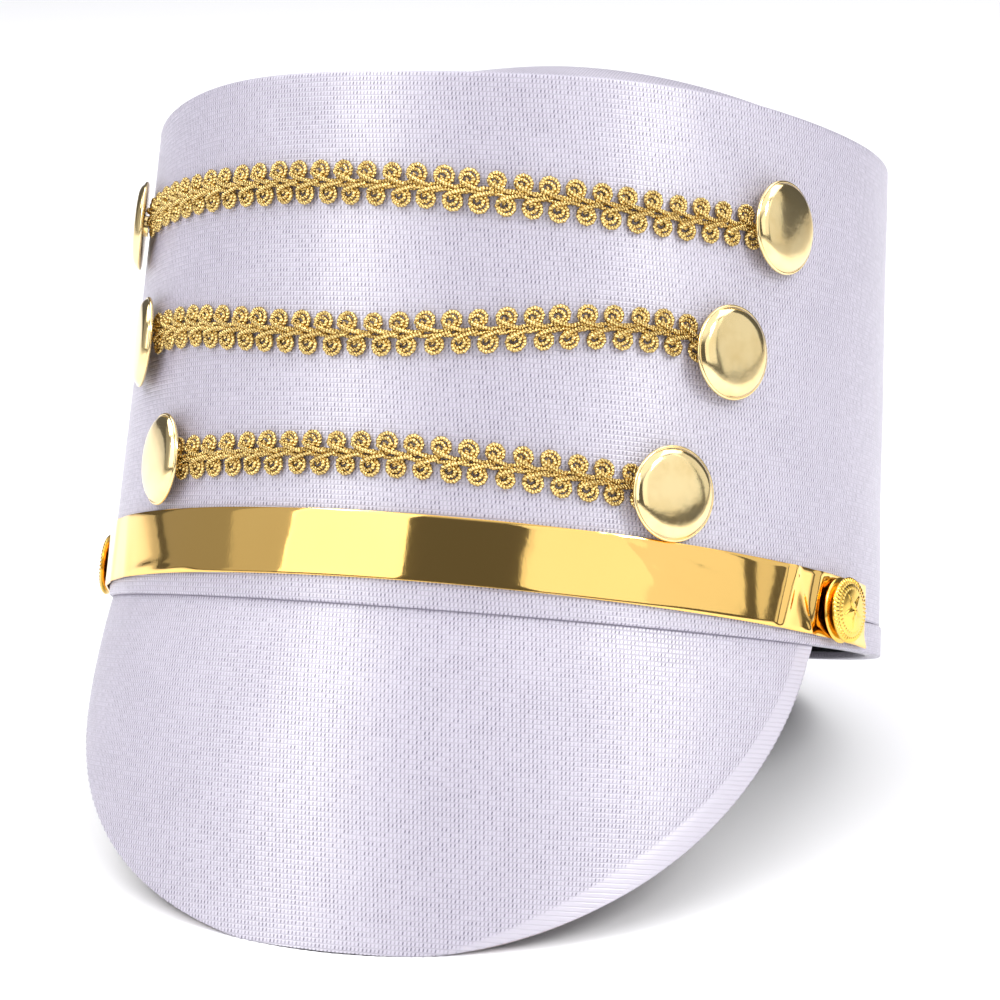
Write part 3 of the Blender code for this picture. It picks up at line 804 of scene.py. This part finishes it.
def braid_row(row):
    """The row's lines, each as a tube, laid on the crown: along becomes an angle, up a height about
    the row's middle curve, which is the polynomial through its five heights, and off goes outwards."""
    left, right = (math.radians(FLAT_BUTTONS[row][side][0]) for side in ("left", "right"))
    round_crown = 0.5 * (TOP_HALF_WIDTH + RIM_HALF_DEPTH)
    tuck = BRAID_END_FROM_BUTTON
    start, end = round_crown * left + tuck, round_crown * right - tuck
    heights = BRAID_HEIGHTS[row]
    curve = np.polyfit(np.linspace(left, right, len(heights)), heights, len(heights) - 1)
    rng = np.random.default_rng({"top": 3, "middle": 5, "lower": 8}[row])
    groups = []
    for side in ("upper", "lower"):
        stations = np.arange(start + 0.0012 + BRAID_PITCH * LOOP_OFFSET[side], end - 0.0022, BRAID_PITCH)
        chance = rng.uniform(-1.0, 1.0, (len(stations), 4))
        stations = stations + 0.00022 * chance[:, 3]
        groups.append(loop_lines(side, stations, chance))
    core_run = np.arange(start, end, CORD_STEP)
    core = np.stack([np.stack([core_run, where + 0.0002 * np.sin(core_run / 0.0009 + where * 9e3),
                               np.full_like(core_run, 0.00062)], -1) for where in (-0.00050, 0.00050)])
    groups.append(core)
    tubes = []
    for lines in groups:
        points, length = cord_tube(lines)
        angle = points[..., 0] / round_crown
        height = np.polyval(curve, angle) + points[..., 1]
        tubes.append((crown_point(angle, height, GAP + points[..., 2]), length))
    return tubes


def braid_piece(row, finish):
    """All the row's tubes in one mesh: quads along and round each, its ends drawn to a point."""
    corners, faces, places, count = [], [], [], 0
    for points, length in braid_row(row):
        cords, steps, sides = points.shape[:3]
        cord = np.arange(cords)[:, None, None] * steps * sides
        step = np.arange(steps - 1)[None, :, None]
        side = np.arange(sides)[None, None, :]
        after = (side + 1) % sides
        quads = np.stack([cord + step * sides + side, cord + step * sides + after,
                          cord + (step + 1) * sides + after, cord + (step + 1) * sides + side], -1)
        faces.append(quads.reshape(-1, 4) + count)
        along = np.stack(np.broadcast_arrays(length[:, :-1, None], length[:, :-1, None],
                                             length[:, 1:, None], length[:, 1:, None]), -1)
        along = np.broadcast_to(along, quads.shape)
        around = np.stack(np.broadcast_arrays(side / sides, (side + 1) / sides,
                                              (side + 1) / sides, side / sides), -1)
        around = np.broadcast_to(around, quads.shape)
        places.append(np.stack([along, around], axis=-1).reshape(-1, 2))
        corners.append(points.reshape(-1, 3))
        count += points[..., 0].size
    corners, faces, places = (np.concatenate(part) for part in (corners, faces, places))
    mesh = bpy.data.meshes.new(f"gimp_braid_{row}")
    mesh.vertices.add(len(corners))
    mesh.vertices.foreach_set("co", rest_hat(corners).ravel())
    mesh.loops.add(faces.size)
    mesh.loops.foreach_set("vertex_index", faces.ravel())
    mesh.polygons.add(len(faces))
    mesh.polygons.foreach_set("loop_start", np.arange(0, faces.size, 4))
    mesh.uv_layers.new(name="cloth").data.foreach_set("uv", places.ravel())
    mesh.materials.append(finish)
    mesh.update(calc_edges=True)
    bm = bmesh.new()
    bm.from_mesh(mesh)
    bmesh.ops.remove_doubles(bm, verts=bm.verts, dist=2e-7)
    bm.to_mesh(mesh)
    bm.free()
    mesh.shade_smooth()
    piece = bpy.data.objects.new(f"gimp_braid_{row}", mesh)
    bpy.context.scene.collection.objects.link(piece)
    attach(piece, "root")
    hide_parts(f"braid_{row}")
    return piece


braid_gold = make_braid_gold()
for row in FLAT_BUTTONS:
    braid_piece(row, braid_gold)

# ---- Flat buttons: six stamped shells of pale polished gold, one at each end of a braid. Each has a
# nearly flat face, a rounded shoulder and a thin bead round its edge, and is shanked through the cloth;
# the braid under its inner half tips it away from the front.
BUTTON_OFF_CLOTH = 0.0015
BUTTON_TURN = math.radians(9.0)
BUTTON_RADIUS = 0.01105
PALE_GOLD = (0.95, 0.76, 0.40)
PALE_GOLD_WORN = (0.80, 0.56, 0.22)
BUTTON_ROWS = (
    # radius, height
    (0.0, -0.0007), (0.0026, -0.0007), (0.0026, 0.0), (0.0060, 0.0), (0.0102, 0.0), (0.0108, 0.00012),
    (0.01103, 0.00035), (0.01105, 0.00062), (0.01096, 0.00085), (0.01078, 0.00102), (0.01062, 0.00103),
    (0.01050, 0.00100), (0.01036, 0.00120), (0.01010, 0.00152), (0.00975, 0.00183), (0.00930, 0.00210),
    (0.00875, 0.00230), (0.0080, 0.00244), (0.0070, 0.00254), (0.0058, 0.00262), (0.0044, 0.00268),
    (0.0030, 0.00272), (0.0015, 0.00274), (0.0, 0.00275),
)


def make_polished(name, light, worn, roughness):
    """Polished gilding, a little duller in clouds, with fine marks."""
    gold = Finish(name, {"Metallic": 1.0, "Roughness": roughness})
    cloud = gold.cloud(160.0, 3.0)
    fine = gold.cloud(2600.0, 2.0)
    colour = gold.blend(cloud.rise(0.35, 0.8) * 0.5, light, worn)
    return gold.finish(colour=colour, roughness=roughness + 0.07 * fine * cloud,
                       relief=0.000003 * fine + 0.00006 * cloud)


def turned_grid(rows, sides, lift=None):
    """Rows of (radius, height) turned about Z. lift(radius, turn) raises the points of the outside."""
    radius, height = (np.array(column)[:, None] for column in zip(*rows))
    turn = np.linspace(0.0, 2.0 * math.pi, sides, endpoint=False)[None, :]
    raised = height + (lift(radius, turn) if lift else 0.0)
    grid = np.stack(np.broadcast_arrays(radius * np.cos(turn), radius * np.sin(turn), raised), -1)
    return grid


def crown_facing(angle, height):
    """The outward normal of the crown's face, its taper included."""
    step = 0.001
    along = crown_point(angle + step, height) - crown_point(angle - step, height)
    up = crown_point(angle, height + step) - crown_point(angle, height - step)
    normal = np.cross(along, up)
    return normal / np.linalg.norm(normal)


def seated(grid, angle, height, outward, turn=0.0):
    """Stands a turned piece on the crown: its axis along the face's normal, swung on by turn away
    from the front, its own X level."""
    facing = crown_facing(angle, height)
    cosine, sine = math.cos(turn), math.sin(turn)
    facing = np.array([facing[0] * cosine - facing[1] * sine, facing[0] * sine + facing[1] * cosine,
                       facing[2]])
    level = np.cross([0.0, 0.0, 1.0], facing)
    level /= np.linalg.norm(level)
    upward = np.cross(facing, level)
    return crown_point(angle, height, outward) + grid @ np.stack([level, upward, facing])


def turned_cloth(grid):
    """Cloth coordinates of a turned piece: its own X and Y."""
    return np.concatenate([grid[..., :2], grid[:, :1, :2]], axis=1)


pale_gold = make_polished("pale_gold", PALE_GOLD, PALE_GOLD_WORN, 0.10)
for row, sides in FLAT_BUTTONS.items():
    for number, (side, (degrees, height)) in enumerate(sides.items()):
        phase = 1.7 * number + 0.9 * len(row)
        grid = turned_grid(BUTTON_ROWS, 96, lambda r, t: 0.00010 * (r / BUTTON_RADIUS) ** 2
                           * np.sin(2.0 * t + phase) * (r < 0.0095) * smooth_step(0.0095, 0.006, r))
        points = seated(grid, math.radians(degrees), height, BUTTON_OFF_CLOTH,
                        math.copysign(BUTTON_TURN, degrees))
        button = skin(f"flat_button_{row}_{side}", points, turned_cloth(grid), pale_gold,
                      closed=(False, True))
        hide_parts(f"button_{row}_{side}")

# ---- Side buttons: deep yellow gilt. A rolled backing disc sits on the foil band, and in front of it a
# stamped face with a milled rim, a ring of beads and a plain five-pointed star in low relief.
SIDE_BACK_ROWS = ((0.0, 0.0), (0.0060, 0.0), (0.0071, 0.0001), (0.0077, 0.0004), (0.0078, 0.0006),
                  (0.0077, 0.0008), (0.0070, 0.0011), (0.0062, 0.0013), (0.0045, 0.0017), (0.0, 0.0017))
SIDE_FACE_BACK = ((0.0, 0.0020), (0.0062, 0.0020), (0.0070, 0.0022), (0.0077, 0.0025), (0.0078, 0.0027))
SIDE_DOME_HEIGHT = 0.0043
MILLED_TEETH = 46
DEEP_GOLD = (0.94, 0.62, 0.13)
DEEP_GOLD_WORN = (0.72, 0.38, 0.06)


def star_relief(radius, turn):
    """Low relief on the dome: a star whose five ridges fall off to both sides and to their tips,
    inside a ring of beads, and teeth round the rim."""
    point = np.abs((turn / (0.4 * math.pi) + 0.25) % 1.0 - 0.5) * 2.0
    reach = 0.0021 + 0.0026 * (point**2.2)
    star = smooth_step(0.0, 0.0007, reach - radius)
    ridge = 0.5 + 0.5 * point**1.5
    star_height = 0.00032 * star * ridge * (1.0 - 0.35 * radius / 0.0047)
    bead = np.exp(-(((radius - 0.0055) / 0.00032) ** 2)) * (0.5 + 0.5 * np.cos(36.0 * turn))
    teeth = smooth_step(0.0062, 0.0068, radius) * smooth_step(0.00785, 0.0074, radius)
    teeth = teeth * (0.5 + 0.5 * np.cos(MILLED_TEETH * turn))
    return star_height + 0.00016 * bead + 0.00030 * teeth


deep_gold = make_polished("deep_gold", DEEP_GOLD, DEEP_GOLD_WORN, 0.16)
dome_radius = np.concatenate([[0.00782, 0.00775], np.linspace(0.0076, 0.0, 60)])
dome_height = np.clip(1.0 - (dome_radius / 0.0078) ** 2, 0.0, 1.0) ** 0.8
dome_height = 0.0029 + (SIDE_DOME_HEIGHT - 0.0029) * dome_height
for side, side_angle in SIDE_BUTTON_ANGLES.items():
    outward = BAND_CLEAR + BAND_THICK + GAP
    grid = turned_grid(SIDE_BACK_ROWS, 96)
    points = seated(grid, side_angle, SIDE_BUTTON_HEIGHT, outward)
    back = skin(f"side_button_disc_{side}", points, turned_cloth(grid), deep_gold,
                closed=(False, True))
    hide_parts(f"side_button_back_{side}")
    rows = list(SIDE_FACE_BACK) + list(zip(dome_radius, dome_height))
    front_part = np.arange(len(rows))[:, None] >= len(SIDE_FACE_BACK)
    grid = turned_grid(rows, 276, lambda r, t: star_relief(r, t) * front_part)
    points = seated(grid, side_angle, SIDE_BUTTON_HEIGHT, outward)
    face = skin(f"side_button_star_{side}", points, turned_cloth(grid), deep_gold,
                closed=(False, True))
    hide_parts(f"side_button_face_{side}")

# ---- Studio: a plain pale floor, a tall soft light in front to the left, a wide one from the front
# round to the right with a dim space between the two, and pale light from above.
FLOOR_HALF = 9.0
AIM = (0.0, 0.0, 0.075)
SOFT_LIGHTS = (
    # name, azimuth from the front, elevation, roll, distance, width, height, brightness
    ("left_soft_light", -29.0, 26.0, 0.0, 1.30, 0.82, 1.00, 1.9),
    ("left_high_light", -42.0, 46.0, 0.0, 1.40, 0.34, 0.40, 9.0),
    ("right_soft_light", 60.0, 24.0, 0.0, 1.35, 1.70, 0.90, 0.95),
    ("right_front_light", 43.0, 24.0, 0.0, 1.40, 0.75, 0.90, 0.25),
    ("right_high_light", 71.0, 41.0, 0.0, 1.40, 0.34, 0.44, 14.0),
    ("far_right_soft_light", 106.0, 20.0, 0.0, 1.50, 0.60, 1.00, 0.75),
    ("far_left_soft_light", -72.0, 18.0, 0.0, 1.50, 1.40, 0.90, 0.24),
    ("left_edge_light", -56.0, 20.0, 0.0, 1.55, 0.52, 0.90, 0.26),
    ("left_side_light", -105.0, 54.0, 0.0, 1.50, 1.30, 0.80, 3.2),
    ("right_side_light", 130.0, 52.0, 0.0, 1.50, 1.20, 0.80, 2.0),
)
SKY_LOW, SKY_HIGH = 0.13, 1.30
SKY_FROM, SKY_TO = 0.55, 0.85
SKY_TINT = (0.97, 0.97, 1.0)


def soft_light(name, azimuth, elevation, roll, distance, wide, tall, brightness):
    """A rectangle that faces the hat from an azimuth, measured from the front to the right, and is
    rolled about the line to it."""
    a, e = math.radians(azimuth), math.radians(elevation)
    away = np.array([math.sin(a) * math.cos(e), -math.cos(a) * math.cos(e), math.sin(e)])
    right = np.array([math.cos(a), math.sin(a), 0.0])
    upward = np.cross(away, right)
    cosine, sine = math.cos(math.radians(roll)), math.sin(math.radians(roll))
    right, upward = right * cosine + upward * sine, upward * cosine - right * sine
    light = bpy.data.lights.new(name, "AREA")
    light.shape = "RECTANGLE"
    light.size, light.size_y = wide, tall
    light.energy = math.pi * brightness * wide * tall
    piece = bpy.data.objects.new(name, light)
    place = np.array(AIM) + distance * away
    piece.matrix_world = Matrix([[*map(float, (right[k], upward[k], away[k], place[k]))]
                                 for k in range(3)] + [[0.0, 0.0, 0.0, 1.0]])
    bpy.context.scene.collection.objects.link(piece)


for row in SOFT_LIGHTS:
    soft_light(*row)

world = bpy.data.worlds.new("studio")
sky = Nodes(world)
bearing = sky.node("ShaderNodeTexCoord", {}, {}).outputs["Generated"]
strength = sky.split(bearing)[2].rise(SKY_FROM, SKY_TO) * (SKY_HIGH - SKY_LOW) + SKY_LOW
sky.put(SKY_TINT, sky.tree.nodes["Background"].inputs["Color"])
sky.put(strength, sky.tree.nodes["Background"].inputs["Strength"])
bpy.context.scene.world = world

floor_mesh = bpy.data.meshes.new("floor")
floor_mesh.from_pydata([(-FLOOR_HALF, -FLOOR_HALF, 0.0), (FLOOR_HALF, -FLOOR_HALF, 0.0),
                        (FLOOR_HALF, FLOOR_HALF, 0.0), (-FLOOR_HALF, FLOOR_HALF, 0.0)], [],
                       [(0, 1, 2, 3)])
floor = bpy.data.objects.new("floor", floor_mesh)
paper = Finish("floor_paper", {"Roughness": 0.9, "Specular IOR Level": 0.2})
floor_mesh.materials.append(paper.finish(colour=(0.93, 0.93, 0.935)))
bpy.context.scene.collection.objects.link(floor)
